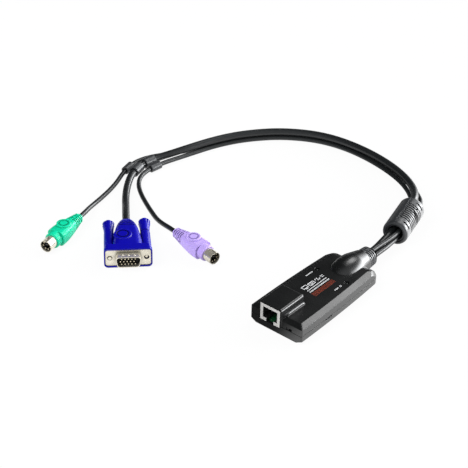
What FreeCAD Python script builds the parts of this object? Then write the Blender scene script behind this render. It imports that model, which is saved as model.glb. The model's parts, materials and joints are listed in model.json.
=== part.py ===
import FreeCAD, Part
import math
import os

# KVM computer-side module: a small housing with an RJ-45 jack at its front and
# three leads at its back, which run through a clamp-on ferrite and two figure-eight
# clips to a video plug and two mini-DIN plugs. Millimetres, +Z up, table at z = 0,
# jack at -Y, leads out at +Y.

V = FreeCAD.Vector
far = 60.0                  # past every face of the housing or of a plug built at the origin
over = 1.0                  # how far a cutter reaches past the face it opens

# ---- Housing -------------------------------------------------------------------
case_width = 41.9           # at its widest
widest_at = -38.2           # where that is along Y
side_radius = 1075.0        # the side walls bow, in plan
case_front = -50.8          # front wall
case_rear = 37.2            # rear wall
case_top = 12.8             # flat top face
side_top = 11.4             # where the walls turn into the top bevel
top_bevel = 0.1 * case_width
bottom_bevel = 0.086 * case_width
bottom_rise = 2.0
front_corner = 1.2
rear_corner = 6.0
rear_fall_start = 24.8      # the top begins to round down here
rear_fall_mid = 32.4
rear_fall_mid_top = 11.4
rear_wall_top = 7.4
rear_fall_in = (0.4, 0.7)   # how far the fall's middle and end move in, per depth of inset
rear_foot = 1.5
dome_middle = (19.1, -5.9)  # (y, z) of the sphere that rounds the upper rear corners
dome_radius = 26.7
parting = 6.35              # height of the line between the shells
wall = 1.8
seam = 0.35                 # cosmetic groove along the parting line
lip_height = 1.2            # tongue of the bottom shell inside the top one
lip_gap = 0.1
fit_gap = 0.15              # clearance between a moulded pocket and what sits in it
pry_notch_length = 7.0
pry_notch_start = -25.8
pry_notch_height = 1.3
pry_notch_depth = 0.9

# ---- Block over the jack --------------------------------------------------------
block_proud = 0.4
block_back = -28.0
block_top = 19.8
block_round = 1.6
block_foot_round = 1.6
block_foot_height = 1.4     # the block's front face reaches this far below the parting line

# ---- Cable hump, neck and boot --------------------------------------------------
cable_axis = 7.4            # height of the cable exit
hump_nose = [(12.1, 4.8), (14.8, 8.3), (18.8, 10.1)]      # (y, radius) along an arc
hump_belly = [(18.8, 10.1), (25.3, 10.8), (32.8, 10.1)]
neck_end = 42.2
neck_radius = 7.8
boot_length = 9.0
boot_end = neck_end + boot_length
boot_radius = 7.3
boot_end_radius = 7.0
boot_end_round = 0.8
boot_neck_radius = 4.8
boot_flange_radius = 5.8
boot_flange = 2.0
boot_flange_setback = 1.0   # from the inner face of the rear wall
boot_groove = 0.85
boot_grooves = 5
boot_groove_depth = 1.3
boot_groove_pitch = boot_length / (boot_grooves + 0.2)
boot_bridge = 2.6           # material left between the slots of one groove

# ---- RJ-45 jack -----------------------------------------------------------------
jack_x = -0.112 * case_width
jack_width = 15.9
jack_height = 12.9
jack_depth = 21.0
jack_sheet = 0.3
jack_insert_gap = 0.05
port_width = 11.7
port_height = 8.4
port_roof = 2.2             # frame above the opening
port_depth = 14.0
latch_width = 6.0
contact_count = 8
contact_pitch = 1.27
contact_size = 0.4
contact_drop = 2.4
contact_front = 2.0
contact_flat = 2.5
block_left = jack_x - 8.9
block_right = jack_x + 9.5

# ---- Circuit board and what it carries ------------------------------------------
board_underside = 3.6
board_thickness = 1.6
board_front_gap = 0.4
board_half = case_width / 2 - wall - 2.7    # half its width, clear of the bowed walls
board_rear = 29.8
board_screw_y = -5.2
screw_hole = 1.3
screw_shank = 1.1
screw_hole_gap = 0.05       # between a screw's shank and its boss
screw_head = 2.4
screw_head_height = 1.5
screw_socket = (0.9, 0.25, 0.7)    # half length, half width and depth of the cross
boss_radius = 2.6
boss_x = board_half - 3.0   # the bosses and the plain posts that carry the board
post_front = -39.2
post_rear = 22.8
processor_size = (14.0, 14.0)
processor_height = 1.4
processor_at = (0.0, -9.2)
memory_size = (7.5, 10.5)
memory_at = (4.4 - board_half, -13.2)
transceiver_size = (10.3, 7.5)
transceiver_at = (board_half - 5.4, -21.0)
small_chip_height = 1.7
chip_edge = 0.3
regulator_size = (6.6, 6.2)
regulator_at = (board_half - 3.6, 2.5)
regulator_height = 2.3
crystal_size = (11.4, 4.6)
crystal_height = 3.5
crystal_at = (6.1 - board_half, 0.3)
capacitor_radius = 2.5
capacitor_height = 5.0
capacitor_round = 0.4
capacitor_places = [(5.0, 10.8), (-3.5, 10.8), (3.0 - board_half, 14.8)]
header_size = (4.4, 4.6)
header_wall = 0.8
header_floor = 1.2
header_places = [("video_header", 0.0, 23.3, 12.0), ("keyboard_header", board_half - 5.5, 19.8, 7.6),
                 ("mouse_header", 5.5 - board_half, 22.3, 7.6)]

# ---- Lamps and slide switch -----------------------------------------------------
lamp_hole = 1.65
lamp_radius = 1.45
lamp_recess = 0.5
lamp_collar_radius = 1.9
lamp_collar = 1.0
lamp_places = [("led_online", -0.291 * case_width, 8.1), ("led_power", 0.286 * case_width, 8.6)]
switch_x = 0.248 * case_width
switch_slot = (4.9, 1.9)
switch_body_size = (7.4, 3.4, 3.7)
switch_knob = (1.9, 1.2)
switch_travel = 2.0
switch_gap = 0.15
knob_recess = 0.4
knob_root = 1.2

# ---- Leads ----------------------------------------------------------------------
video_lead = 5.4            # outside diameters
thin_lead = 3.4
straight_entry = 7.5        # straight end of a lead before its plug

# ---- Clamp-on ferrite -----------------------------------------------------------
ferrite_center = (-5.2, 98.85)
ferrite_heading = 104.8     # direction of its axis, degrees from +X
ferrite_length = 36.0
ferrite_radius = 9.25
ferrite_round = 1.8
ferrite_wall = 1.4
ferrite_end_wall = 2.2
ferrite_bore = 5.7
ferrite_recess_radius = 7.0
ferrite_recess = 1.0
core_bore = 5.3
core_gap = 0.15
rib_count = 9
rib_pitch = 2.3
rib_groove = 1.1
rib_depth = 0.45
split_angle = 97.0          # plane between the two halves, degrees from level
rib_from = -62.0            # grooved panel on the right half
rib_to = 91.0
slot_sweep = 44.0
slot_off_split = 55.0       # middle of each slot, degrees from the split plane
slot_width = 1.5
slot_inset = 4.0
catch_size = 1.3
catch_off_split = 52.0
catch_inset = 9.4
catch_depth = 1.2

# ---- Figure-eight clips ---------------------------------------------------------
clip_length = 9.0
clip_big_bore = 3.1
clip_small_bore = 2.1
clip_wall = 0.9
clip_spacing = 7.4
clip_waist = 3.0
keyboard_clip = (-197.8, 44.3, -97.0)    # middle of its big ring, direction of the video lead
mouse_clip = (-197.05, 30.4, -76.5)

# ---- Video plug (D-subminiature, 15 way) ----------------------------------------
video_plug = (-120.1, -60.5, -44.9)       # middle of the flange, heading
plug_middle = 7.7                         # height of the plug axis
flange_size = (30.8, 12.5)
flange_round = 1.8
flange_sheet = 0.8
d_width = 17.7              # to the sharp corners; 16.9 over the rounded ones
d_height = 8.4
d_slope = 10.0
d_round = 2.0
d_reach = 5.9
d_wall = 0.5
d_dimple_pitch = 4.0
d_dimple = 0.55             # height of a dimple over the skirt
d_dimple_radius = 1.0
d_dimple_at = 0.55          # share of the skirt's length
screw_spacing = 25.0
rim_size = (32.8, 15.2)
rim_round = 3.0
rim_depth = 2.8
rim_lip = 0.5
step_size = (31.6, 14.0)
step_depth = 3.9
step_round = 2.4
hood_stations = [(-6.0, 20.4, 13.8), (-20.0, 18.8, 13.4), (-31.0, 15.6, 12.0),    # (y, width, height)
                 (-37.5, 12.0, 10.2), (-41.5, 8.0, 7.8)]
hood_corner = 0.34          # share of the height that the corners round
tower_radius = 3.9
tower_end_radius = 3.5
tower_end = 28.0
grip_disc = (3.0, -18.0, 6.3)
grip_rise = 0.8
grip_round = 0.7
grip_ring = (4.6, 3.3)
grip_ring_depth = 0.8
hood_lines = 3
hood_line_last = -36.8       # the line nearest the lead
hood_line_width = 0.8
hood_line_pitch = 2.4
hood_line_depth = 0.6
pin_rows = [(1.98, 0.0), (0.0, 0.85), (-1.98, 0.0)]       # (height, shift to the side)
pin_pitch = 2.29
pin_per_row = 5
pin_radius = 0.4
pin_reach = 4.9
insulator_face = 1.2
insulator_back = 3.35       # depth of the block behind the flange
insulator_size = (d_width + 3.6, flange_size[1] - 1.9)
insulator_round = 1.8
insulator_gap = 0.05        # between the block and the skirt or the pocket's floor
pin_root = 3.0              # length held in the block
jackscrew_radius = 1.42
jackscrew_hole = 1.8
jackscrew_tip = 0.8
jackscrew_chamfer = 0.3
jackscrew_grip = 0.03       # clearance of the screw in its knob
knob_length = 13.0
knob_neck_radius = 3.2
knob_end_radius = 4.3
knob_waist = (0.45, 3.5)    # share of the length, radius
knob_edge = (1.0, 0.7)      # length and depth of the rounded end
knob_socket = 0.6           # share of the length that the screw reaches in
knob_flutes = 6
knob_flute_radius = 1.0
knob_flute_at = 0.25        # share of the flute's radius that its middle stands off the rim
knob_flute_start = 0.35     # share of the length
knob_backed_off = {"left": 1.5, "right": 0.15}

# ---- Mini-DIN plugs -------------------------------------------------------------
mouse_plug = (-181.35, -45.9, -78.4)       # cable end of the hood, heading
keyboard_plug = (-118.2, -14.15, -8.7)
din_middle = 5.7
din_hood = 34.0
din_stations = [(0.0, 6.2, 6.2), (10.5, 9.6, 9.2), (19.0, 12.4, 10.6), (28.8, 13.2, 11.0)]
din_corner = 0.3            # share of the height that the corners round
din_collar = 5.7
din_collar_start = 27.9
din_collar_round = 0.8
din_shell = 4.5
din_shell_wall = 0.4
din_shell_reach = 7.2
din_shell_root = 4.0        # length held inside the hood
din_root_radius = 4.2
din_dent = (2.4, 0.5)       # width and depth of the keying dent in the shell
din_dent_start = 2.4
din_face = 2.0              # insert's face beyond the hood
din_pins = [(-2.9, -0.5), (2.9, -0.5), (-2.2, 1.8), (2.2, 1.8), (-1.1, -2.5), (1.1, -2.5)]
din_pin_radius = 0.5
din_tip_depth = 1.2         # pins and key stop this far inside the shell's mouth
din_key = (2.0, 1.1)
din_key_low = 0.4
din_disc = (18.8, 5.1)
din_disc_rise = 1.3
din_disc_round = 0.5
din_ring = (3.7, 2.6)
din_ring_depth = 0.6
din_groove = 0.9
din_groove_start = 1.2
din_groove_pitch = 2.0
din_groove_depth = 0.8
din_grooves = 5
din_bridge = 1.6


# ---- Helpers --------------------------------------------------------------------
def box(x0, x1, y0, y1, z0, z1):
    return Part.makeBox(x1 - x0, y1 - y0, z1 - z0, V(x0, y0, z0))


def rod(radius, start, direction, length):
    return Part.makeCylinder(radius, length, V(*start), V(*direction))


def polygon(points):
    return Part.Face(Part.makePolygon([V(*p) for p in points] + [V(*points[0])]))


def rounded_rect(width, height, radius, y, z):
    """Wire of a rounded rectangle across the Y axis, its middle at height z."""
    hw, hh = width / 2, height / 2
    edges = []
    corners = [(hw - radius, hh - radius, 0), (radius - hw, hh - radius, 90),
               (radius - hw, radius - hh, 180), (hw - radius, radius - hh, 270)]
    for i, (cx, cz, a0) in enumerate(corners):
        arc = [V(cx + radius * math.cos(math.radians(a0 + a)), y,
                 z + cz + radius * math.sin(math.radians(a0 + a))) for a in (0, 45, 90)]
        edges.append(Part.Arc(*arc).toShape())
        nx, nz, na = corners[(i + 1) % 4]
        na = math.radians(na)
        to = V(nx + radius * math.cos(na), y, z + nz + radius * math.sin(na))
        edges.append(Part.LineSegment(arc[2], to).toShape())
    return Part.Wire(edges)


def plate(width, height, radius, y0, y1, z):
    return Part.Face(rounded_rect(width, height, radius, y0, z)).extrude(V(0, y1 - y0, 0))


def placed(shape, x, y, heading):
    """Set a plug or clip, built along +Y, down at x, y with its +Y turned to the heading."""
    copy = shape.copy()
    copy.Placement = FreeCAD.Placement(V(x, y, 0), FreeCAD.Rotation(V(0, 0, 1), heading - 90))
    return copy


def one(shape):
    return shape.removeSplitter()


def save(name, shape):
    shape.exportStep("parts/" + name + ".step")


# ---- Housing --------------------------------------------------------------------
def plan_outline(z, inset, side_in, front_in):
    """Closed outline of the housing at height z: bowed sides, round corners, flat front and rear."""
    arc_x = case_width / 2 - side_radius
    radius = side_radius - inset - side_in
    front = case_front + inset + front_in
    rear = case_rear - inset
    r0 = max(front_corner - inset, 0.2)
    r1 = rear_corner - inset
    a0 = math.asin((front + r0 - widest_at) / (radius - r0))
    a1 = math.asin((rear - r1 - widest_at) / (radius - r1))
    front_x = arc_x + (radius - r0) * math.cos(a0)
    rear_x = arc_x + (radius - r1) * math.cos(a1)

    def at(x, y, r, a, side):
        return V(side * (x + r * math.cos(a)), y + r * math.sin(a), z)

    def arc(x, y, r, start, stop, side):
        return Part.Arc(*[at(x, y, r, a, side) for a in (start, (start + stop) / 2, stop)]).toShape()

    quarter = math.pi / 2
    right = [(front_x, front + r0, r0, -quarter, a0), (arc_x, widest_at, radius, a0, a1),
             (rear_x, rear - r1, r1, a1, quarter)]
    edges = [Part.LineSegment(V(-front_x, front, z), V(front_x, front, z)).toShape()]
    edges = edges + [arc(x, y, r, start, stop, 1) for x, y, r, start, stop in right]
    edges.append(Part.LineSegment(V(rear_x, rear, z), V(-rear_x, rear, z)).toShape())
    edges = edges + [arc(x, y, r, stop, start, -1) for x, y, r, start, stop in reversed(right)]
    return Part.Wire(edges)


def case_body(inset):
    """The housing's closed outer form, or its cavity when inset by the wall."""
    bevel_slope = (case_top - side_top) / top_bevel
    bevel_start = side_top - inset * (math.sqrt(1 + bevel_slope ** 2) - bevel_slope)
    foot_slope = bottom_rise / bottom_bevel
    foot_end = bottom_rise + inset * (math.sqrt(1 + foot_slope ** 2) - foot_slope)
    top = case_top - inset
    low = inset
    bevel_in = (top - bevel_start) / bevel_slope
    foot_in = (foot_end - low) / foot_slope
    levels = [(low, foot_in, 0.0), (foot_end, 0.0, 0.0), (bevel_start, 0.0, 0.0), (top, bevel_in, bevel_in)]
    form = Part.makeLoft([plan_outline(z, inset, s, f) for z, s, f in levels], True, True)
    x = -case_width
    rear = case_rear - inset
    mid_in, end_in = rear_fall_in
    high = rear_wall_top - inset * end_in
    mid = V(x, rear_fall_mid - inset * mid_in, rear_fall_mid_top - inset)
    fall = Part.Arc(V(x, rear_fall_start, top), mid, V(x, rear, high)).toShape()
    foot = rear_foot + over
    outline = [(rear, high), (rear + over, high), (rear + over, low + foot), (rear - foot, low - over),
               (case_front - over, low - over), (case_front - over, top + over),
               (rear_fall_start, top + over), (rear_fall_start, top)]
    outline = [V(x, y, z) for y, z in outline]
    along = [Part.LineSegment(a, b).toShape() for a, b in zip(outline, outline[1:])]
    along = Part.Face(Part.Wire(along + [fall])).extrude(V(2 * case_width, 0, 0))
    dome = Part.makeSphere(dome_radius - inset, V(0, *dome_middle))
    before = box(-case_width, case_width, case_front - over, dome_middle[0], -over, block_top)
    return one(form.common(along).common(dome.fuse(before)))


def hump_body(inset):
    """Ovoid over the cable entry, with the neck that carries the boot; flat underneath."""
    nose = [V(0, y, cable_axis + r - inset) for y, r in hump_nose]
    belly = [V(0, y, cable_axis + r - inset) for y, r in hump_belly]
    rest = [belly[-1], V(0, neck_end, cable_axis + neck_radius - inset), V(0, neck_end, cable_axis),
            V(0, nose[0].y, cable_axis), nose[0]]
    profile = [Part.Arc(*nose).toShape(), Part.Arc(*belly).toShape()]
    profile = profile + [Part.LineSegment(a, b).toShape() for a, b in zip(rest, rest[1:])]
    turned = Part.Face(Part.Wire(profile)).revolve(V(0, 0, cable_axis), V(0, 1, 0), 360)
    return turned.common(box(-far, far, 0, neck_end, inset, far))


def block_body():
    front = case_front - block_proud
    body = box(block_left, block_right, front, block_back, parting, block_top)
    rounded = []
    for edge in body.Edges:
        a, b = edge.Vertexes[0].Point, edge.Vertexes[-1].Point
        upright_back = abs(a.z - b.z) > 1 and a.y > front + 1
        top_side = a.z > block_top - 0.1 and b.z > block_top - 0.1 and max(a.y, b.y) > front + 1
        if upright_back or top_side:
            rounded.append(edge)
    body = body.makeFillet(block_round, rounded)
    lower = box(block_left, block_right, front, case_front + wall, parting - block_foot_height, side_top)
    return one(body.fuse(lower))


def outer_form():
    whole = case_body(0).fuse(block_body())
    foot = []
    for edge in whole.Edges:
        box_ = edge.BoundBox
        on_top = abs(box_.ZMin - case_top) < 0.01 and abs(box_.ZMax - case_top) < 0.01
        near = box_.YMax < block_back + 0.1 and box_.XMin > block_left - 0.1 and box_.XMax < block_right + 0.1
        if on_top and near and box_.YMin > case_front + top_bevel - 0.1:
            foot.append(edge)
    whole = whole.makeFillet(block_foot_round, foot)
    return whole.fuse(hump_body(0))


def shells():
    """Top and bottom shells, split at the parting line, with the lip between them."""
    whole = outer_form()
    rear_inside = case_rear - wall
    hollow = case_body(wall)
    hollow = hollow.fuse(hump_body(wall).common(box(-far, far, 0, rear_inside, 0, far)))
    flange_front = rear_inside + boot_flange_setback
    neck = rod(boot_neck_radius + fit_gap, (0, rear_inside - over, cable_axis), (0, 1, 0), far)
    hollow = hollow.fuse(neck)
    hollow = hollow.fuse(rod(boot_flange_radius + fit_gap, (0, flange_front - fit_gap, cable_axis), (0, 1, 0),
                             boot_flange + 2 * fit_gap))
    board_top = board_underside + board_thickness
    bay = box(jack_x - jack_width / 2 - fit_gap, jack_x + jack_width / 2 + fit_gap,
              case_front - block_proud - over, case_front - block_proud + jack_depth + fit_gap,
              board_top - fit_gap, board_top + jack_height + fit_gap)
    hollow = hollow.fuse(bay)
    slot_wide, slot_high = switch_slot
    slot = box(switch_x - slot_wide / 2, switch_x + slot_wide / 2, case_front - over,
               case_front + wall + over, parting, parting + slot_high)
    tall = box(-far, far, -far, far, parting, far)
    low = box(-far, far, -far, far, -over, parting)
    groove = box(-far, far, -far, far, parting - seam / 2, parting + seam / 2)
    groove = groove.cut(case_body(seam)).cut(hump_body(seam))
    lip_inset = wall / 2
    lip = case_body(lip_inset).cut(case_body(wall))
    lip = lip.common(box(-far, far, -far, rear_fall_mid, parting, parting + lip_height))
    lip = lip.cut(slot).cut(bay)
    rebate = box(-far, far, -far, rear_inside + lip_inset, parting, parting + lip_height + lip_gap)
    rebate = rebate.common(case_body(lip_inset - lip_gap))
    top = whole.common(tall).cut(hollow).cut(groove).cut(slot).cut(rebate)
    for name, x, y in lamp_places:
        top = top.cut(rod(lamp_hole, (x, y, parting), (0, 0, 1), far))
    bottom = whole.common(low).cut(hollow).cut(groove)
    bottom = bottom.fuse(lip)
    for side in (-1, 1):
        inner = side * (case_width / 2 - pry_notch_depth)
        outer = side * case_width
        notch = box(min(inner, outer), max(inner, outer), pry_notch_start, pry_notch_start + pry_notch_length,
                    parting - pry_notch_height, parting)
        bottom = bottom.cut(notch)
        for y in (board_screw_y, post_front, post_rear):
            boss = rod(boss_radius, (side * boss_x, y, wall / 2), (0, 0, 1), board_underside - wall / 2)
            bottom = bottom.fuse(boss)
        pilot = rod(screw_shank + screw_hole_gap, (side * boss_x, board_screw_y, wall), (0, 0, 1), parting)
        bottom = bottom.cut(pilot)
    return one(top), one(bottom)


def boot():
    """Ribbed strain relief, its flange trapped in the neck of the shells."""
    front = case_rear - wall + boot_flange_setback
    back = front + boot_flange
    outline = [(front, 0), (front, boot_flange_radius), (back, boot_flange_radius),
               (back, boot_neck_radius), (neck_end + fit_gap, boot_neck_radius),
               (neck_end + fit_gap, boot_radius), (boot_end - boot_end_round, boot_end_radius),
               (boot_end, boot_end_radius - boot_end_round), (boot_end, 0)]
    body = polygon([(0, y, cable_axis + r) for y, r in outline])
    body = body.revolve(V(0, 0, cable_axis), V(0, 1, 0), 360)
    for i in range(boot_grooves):
        y = neck_end + (i + 0.4) * boot_groove_pitch
        ring = rod(boot_radius + over, (0, y, cable_axis), (0, 1, 0), boot_groove)
        ring = ring.cut(rod(boot_end_radius - boot_groove_depth, (0, y, cable_axis), (0, 1, 0), boot_groove))
        turn = 90 * (i % 2)
        bridge = box(-boot_bridge / 2, boot_bridge / 2, y, y + boot_groove, -far, far)
        bridge.rotate(V(0, y, cable_axis), V(0, 1, 0), turn)
        body = body.cut(ring.cut(bridge))
    return body


# ---- RJ-45 jack -----------------------------------------------------------------
def port_profile(y0, y1):
    """Opening of the jack with the latch way below it."""
    floor = board_underside + board_thickness
    roof = floor + jack_height - port_roof
    half = port_width / 2
    main = box(jack_x - half, jack_x + half, y0, y1, roof - port_height, roof)
    way = box(jack_x - latch_width / 2, jack_x + latch_width / 2, y0, y1, floor - over, roof - port_height)
    return one(main.fuse(way))


def jack():
    floor = board_underside + board_thickness
    front = case_front - block_proud
    x0 = jack_x - jack_width / 2
    x1 = jack_x + jack_width / 2
    outer = box(x0, x1, front, front + jack_depth, floor, floor + jack_height)
    t = jack_sheet
    inside = box(x0 + t, x1 - t, front + t, front + jack_depth - t, floor - over, floor + jack_height - t)
    shield = outer.cut(inside).cut(port_profile(front - over, front + over))
    g = t + jack_insert_gap
    insert = box(x0 + g, x1 - g, front + g, front + jack_depth - g, floor, floor + jack_height - g)
    insert = insert.cut(port_profile(front, front + port_depth))
    roof = floor + jack_height - port_roof
    wires = []
    y0 = front + contact_front
    y1 = y0 + contact_flat
    y2 = front + port_depth
    s = contact_size
    strip = [(y0, roof), (y1, roof), (y2, roof - contact_drop),
             (y2, roof - contact_drop - s), (y1, roof - s), (y0, roof - s)]
    for i in range(contact_count):
        x = jack_x + (i - (contact_count - 1) / 2) * contact_pitch - s / 2
        wires.append(polygon([(x, y, z) for y, z in strip]).extrude(V(s, 0, 0)))
    return one(shield), one(insert), Part.makeCompound(wires)


# ---- Board ----------------------------------------------------------------------
def circuit_board():
    front = case_front + wall + board_front_gap
    top = board_underside + board_thickness
    board = box(-board_half, board_half, front, board_rear, board_underside, top)
    for side in (-1, 1):
        board = board.cut(rod(screw_hole, (side * boss_x, board_screw_y, 0), (0, 0, 1), far))
    return board


def chip(width, length, height, at):
    z = board_underside + board_thickness
    body = box(at[0] - width / 2, at[0] + width / 2, at[1] - length / 2, at[1] + length / 2, z, z + height)
    upper = [e for e in body.Edges if e.BoundBox.ZMin > z + height - 0.01]
    return body.makeChamfer(chip_edge, upper)


def crystal():
    z = board_underside + board_thickness
    length, width = crystal_size
    x, y = crystal_at
    straight = (length - width) / 2
    can = box(x - straight, x + straight, y - width / 2, y + width / 2, z, z + crystal_height)
    for side in (-1, 1):
        can = can.fuse(rod(width / 2, (x + side * straight, y, z), (0, 0, 1), crystal_height))
    return one(can)


def capacitors():
    z = board_underside + board_thickness
    cans = []
    for x, y in capacitor_places:
        can = rod(capacitor_radius, (x, y, z), (0, 0, 1), capacitor_height)
        rim = [e for e in can.Edges if e.BoundBox.ZMin > z + capacitor_height - 0.01]
        cans.append(can.makeFillet(capacitor_round, rim))
    return Part.makeCompound(cans)


def header(x, y, width):
    """Shrouded wire-to-board connector, open at the top."""
    z = board_underside + board_thickness
    depth, height = header_size
    body = box(x - width / 2, x + width / 2, y - depth / 2, y + depth / 2, z, z + height)
    inner = width / 2 - header_wall
    deep = depth / 2 - header_wall
    return body.cut(box(x - inner, x + inner, y - deep, y + deep, z + header_floor, z + height + over))


def board_screws():
    z = board_underside + board_thickness
    screws = []
    for side in (-1, 1):
        x = side * boss_x
        screw = rod(screw_shank, (x, board_screw_y, wall), (0, 0, 1), z - wall)
        screw = screw.fuse(rod(screw_head, (x, board_screw_y, z), (0, 0, 1), screw_head_height))
        for turn in (0, 90):
            long, thin, deep = screw_socket
            cross = box(x - long, x + long, board_screw_y - thin, board_screw_y + thin,
                        z + screw_head_height - deep, z + screw_head_height + over)
            cross.rotate(V(x, board_screw_y, 0), V(0, 0, 1), turn)
            screw = screw.cut(cross)
        screws.append(one(screw))
    return Part.makeCompound(screws)


def lamp(x, y):
    z = board_underside + board_thickness
    top = case_top - lamp_recess
    spacer = rod(lamp_collar_radius, (x, y, z), (0, 0, 1), case_top - wall - lamp_collar - z)
    dome = Part.makeSphere(lamp_radius, V(x, y, top - lamp_radius))
    dome = dome.common(rod(lamp_radius, (x, y, top - lamp_radius), (0, 0, 1), lamp_radius))
    stem = rod(lamp_radius, (x, y, z), (0, 0, 1), top - lamp_radius - z)
    return one(spacer.fuse(stem).fuse(dome))


def slide_switch():
    z = board_underside + board_thickness
    wide, deep, high = switch_body_size
    front = case_front + wall + switch_gap
    body = box(switch_x - wide / 2, switch_x + wide / 2, front, front + deep, z, z + high)
    knob_wide, knob_high = switch_knob
    middle = parting + switch_slot[1] / 2
    run = (knob_wide + switch_travel) / 2 + switch_gap
    body = body.cut(box(switch_x - run, switch_x + run, front - over, front + knob_root + switch_gap,
                        middle - knob_high / 2 - switch_gap, middle + knob_high / 2 + switch_gap))
    knob_x = switch_x - switch_travel / 2
    knob = box(knob_x - knob_wide / 2, knob_x + knob_wide / 2, case_front + knob_recess, front + knob_root,
               middle - knob_high / 2, middle + knob_high / 2)
    return body, knob


# ---- Ferrite --------------------------------------------------------------------
def turned(outline, z):
    """Body turned about the Y axis at height z from (y, radius) points."""
    return polygon([(0, y, z + r) for y, r in outline]).revolve(V(0, 0, z), V(0, 1, 0), 360)


def sector(r0, r1, y0, y1, a0, a1, z):
    """Part of a ring about the Y axis, from a0 to a1 degrees above +X."""
    face = polygon([(r0, y0, z), (r1, y0, z), (r1, y1, z), (r0, y1, z)])
    face.rotate(V(0, 0, z), V(0, -1, 0), a0)
    return face.revolve(V(0, 0, z), V(0, -1, 0), a1 - a0)


def half_space(side, gap):
    """Large block on one side of the ferrite's split plane, drawn back by the gap."""
    z = ferrite_radius
    block = box(gap, far, -far, far, z - far, z + far)
    if side < 0:
        block = box(-far, -gap, -far, far, z - far, z + far)
    block.rotate(V(0, 0, z), V(0, -1, 0), split_angle - 90)
    return block


def ferrite():
    z = ferrite_radius
    end = ferrite_length / 2
    r = ferrite_radius
    k = ferrite_round
    steps = [(end - k * (1 - math.cos(math.radians(a))), r - k * (1 - math.sin(math.radians(a))))
             for a in (0, 30, 60, 90)]
    face = end - ferrite_recess
    half = [(face, 0), (face, ferrite_recess_radius), (end, ferrite_recess_radius)] + steps
    mirrored = [(-y, s) for y, s in reversed(half)]
    solid = turned(half + mirrored, z)
    solid = solid.cut(rod(ferrite_bore, (0, -far, z), (0, 1, 0), 2 * far))
    core_end = end - ferrite_recess - ferrite_end_wall
    core_radius = r - ferrite_wall
    solid = solid.cut(rod(core_radius, (0, -core_end, z), (0, 1, 0), 2 * core_end))
    for i in range(rib_count):
        y = (i - (rib_count - 1) / 2) * rib_pitch
        y0 = y - rib_groove / 2
        solid = solid.cut(sector(r - rib_depth, r + over, y0, y0 + rib_groove, rib_from, rib_to, z))
    for side in (-1, 1):
        middle = split_angle - side * slot_off_split
        catch = split_angle - side * catch_off_split
        half_catch = math.degrees(catch_size / 2 / r)
        for y in (slot_inset - end, end - slot_inset - slot_width):
            solid = solid.cut(sector(core_radius - over, r + over, y, y + slot_width, middle - slot_sweep / 2,
                                     middle + slot_sweep / 2, z))
        for y in (catch_inset - end, end - catch_inset - catch_size):
            solid = solid.cut(sector(r - catch_depth, r + over, y, y + catch_size, catch - half_catch,
                                     catch + half_catch, z))
    core = rod(core_radius - core_gap, (0, -core_end + core_gap, z), (0, 1, 0), 2 * (core_end - core_gap))
    core = core.cut(rod(core_bore, (0, -end, z), (0, 1, 0), ferrite_length))
    parts = {}
    for name, side in (("right", 1), ("left", -1)):
        parts["ferrite_case_" + name] = solid.common(half_space(side, 0.0))
        parts["ferrite_core_" + name] = core.common(half_space(side, core_gap / 2))
    return parts


def clip(side):
    """Figure-eight clip: the big ring holds the video lead, the small one a thin lead."""
    big = clip_big_bore + clip_wall
    small = clip_small_bore + clip_wall
    drop = big - small
    across = side * math.sqrt(clip_spacing ** 2 - drop ** 2)
    y0 = -clip_length / 2
    body = rod(big, (0, y0, big), (0, 1, 0), clip_length)
    body = body.fuse(rod(small, (across, y0, small), (0, 1, 0), clip_length))
    web = box(min(0, across), max(0, across), y0, -y0, small - clip_waist / 2, small + clip_waist / 2)
    body = body.fuse(web)
    body = body.cut(rod(clip_big_bore, (0, -far, big), (0, 1, 0), 2 * far))
    return one(body.cut(rod(clip_small_bore, (across, -far, small), (0, 1, 0), 2 * far)))


# ---- Video plug -----------------------------------------------------------------
def d_wire(width, height, y, z):
    """D outline, wide side up, with rounded corners."""
    hw, hh = width / 2, height / 2
    low = hw - height * math.tan(math.radians(d_slope))
    corners = [V(-hw, y, z + hh), V(hw, y, z + hh), V(low, y, z - hh), V(-low, y, z - hh)]
    edges = []
    points = []
    for i in range(4):
        p, a, b = corners[i], corners[i - 1], corners[(i + 1) % 4]
        u = (a - p).normalize()
        v = (b - p).normalize()
        half = u.getAngle(v) / 2
        reach = d_round / math.tan(half)
        middle = p + (u + v).normalize() * (d_round / math.sin(half) - d_round)
        points.append((p + u * reach, middle, p + v * reach))
    for i in range(4):
        start, middle, stop = points[i]
        edges.append(Part.Arc(start, middle, stop).toShape())
        edges.append(Part.LineSegment(stop, points[(i + 1) % 4][0]).toShape())
    return Part.Wire(edges)


def d_block(width, height, y0, y1, z):
    return Part.Face(d_wire(width, height, y0, z)).extrude(V(0, y1 - y0, 0))


def lofted(stations, corner, z, less=0.0):
    """Smooth body through rounded sections (y, width, height), each less all round by the given depth."""
    stations = [(y, w - 2 * less, h - 2 * less) for y, w, h in stations]
    wires = [rounded_rect(w, h, corner * h, y, z) for y, w, h in stations]
    return Part.makeLoft(wires, True, False)


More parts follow.
